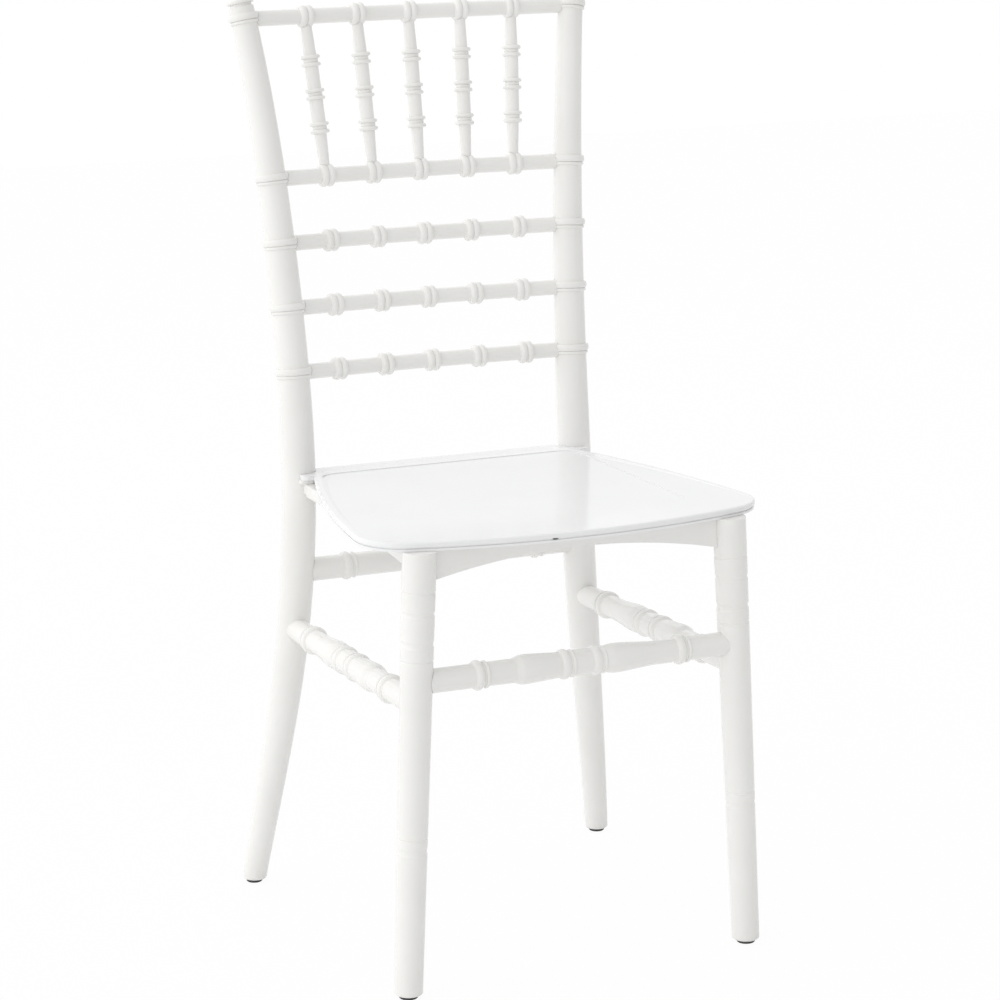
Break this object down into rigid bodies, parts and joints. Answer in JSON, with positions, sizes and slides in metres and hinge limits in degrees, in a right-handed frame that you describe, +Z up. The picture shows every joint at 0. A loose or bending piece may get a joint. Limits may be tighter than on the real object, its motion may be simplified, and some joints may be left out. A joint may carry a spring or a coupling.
{
  "type": "stacking banquet chair",
  "caption": "Dining chair with a slim turned back of ringed rails and short spindles, round legs joined by vase-turned stretchers, and a thin bowed seat.",
  "frame": {"origin": "on the floor, under the middle of the chair's overall outline", "axes": "+Z up, -Y the way the sitter faces, +X towards the chair's right-hand side in the front view"},
  "size_m": [0.423, 0.4423, 0.9264],
  "materials": {
    "resin": "satin gloss",
    "glide": "matte",
    "steel": "zinc plated",
    "brass": "plain"
  },
  "bodies": {
    "root": {"right_back_post": "resin", "left_back_post": "resin", "right_front_leg": "resin", "left_front_leg": "resin", "lower_back_rail": "resin", "middle_back_rail": "resin", "upper_back_rail": "resin", "spindle_rail": "resin", "top_rail": "resin", "spindle_1": "resin", "spindle_2": "resin", "spindle_3": "resin", "spindle_4": "resin", "spindle_5": "resin", "front_stretcher": "resin", "rear_stretcher": "resin", "right_side_stretcher": "resin", "left_side_stretcher": "resin", "front_apron": "resin", "rear_apron": "resin", "right_side_apron": "resin", "left_side_apron": "resin", "seat_panel": "resin", "right_front_corner_block": "resin", "left_front_corner_block": "resin", "right_rear_corner_block": "resin", "left_rear_corner_block": "resin", "corner_bolts": "steel", "leg_inserts": "brass", "seat_screws": "steel", "right_front_glide": "glide", "left_front_glide": "glide", "right_rear_glide": "glide", "left_rear_glide": "glide"}
  },
  "joints": []
}
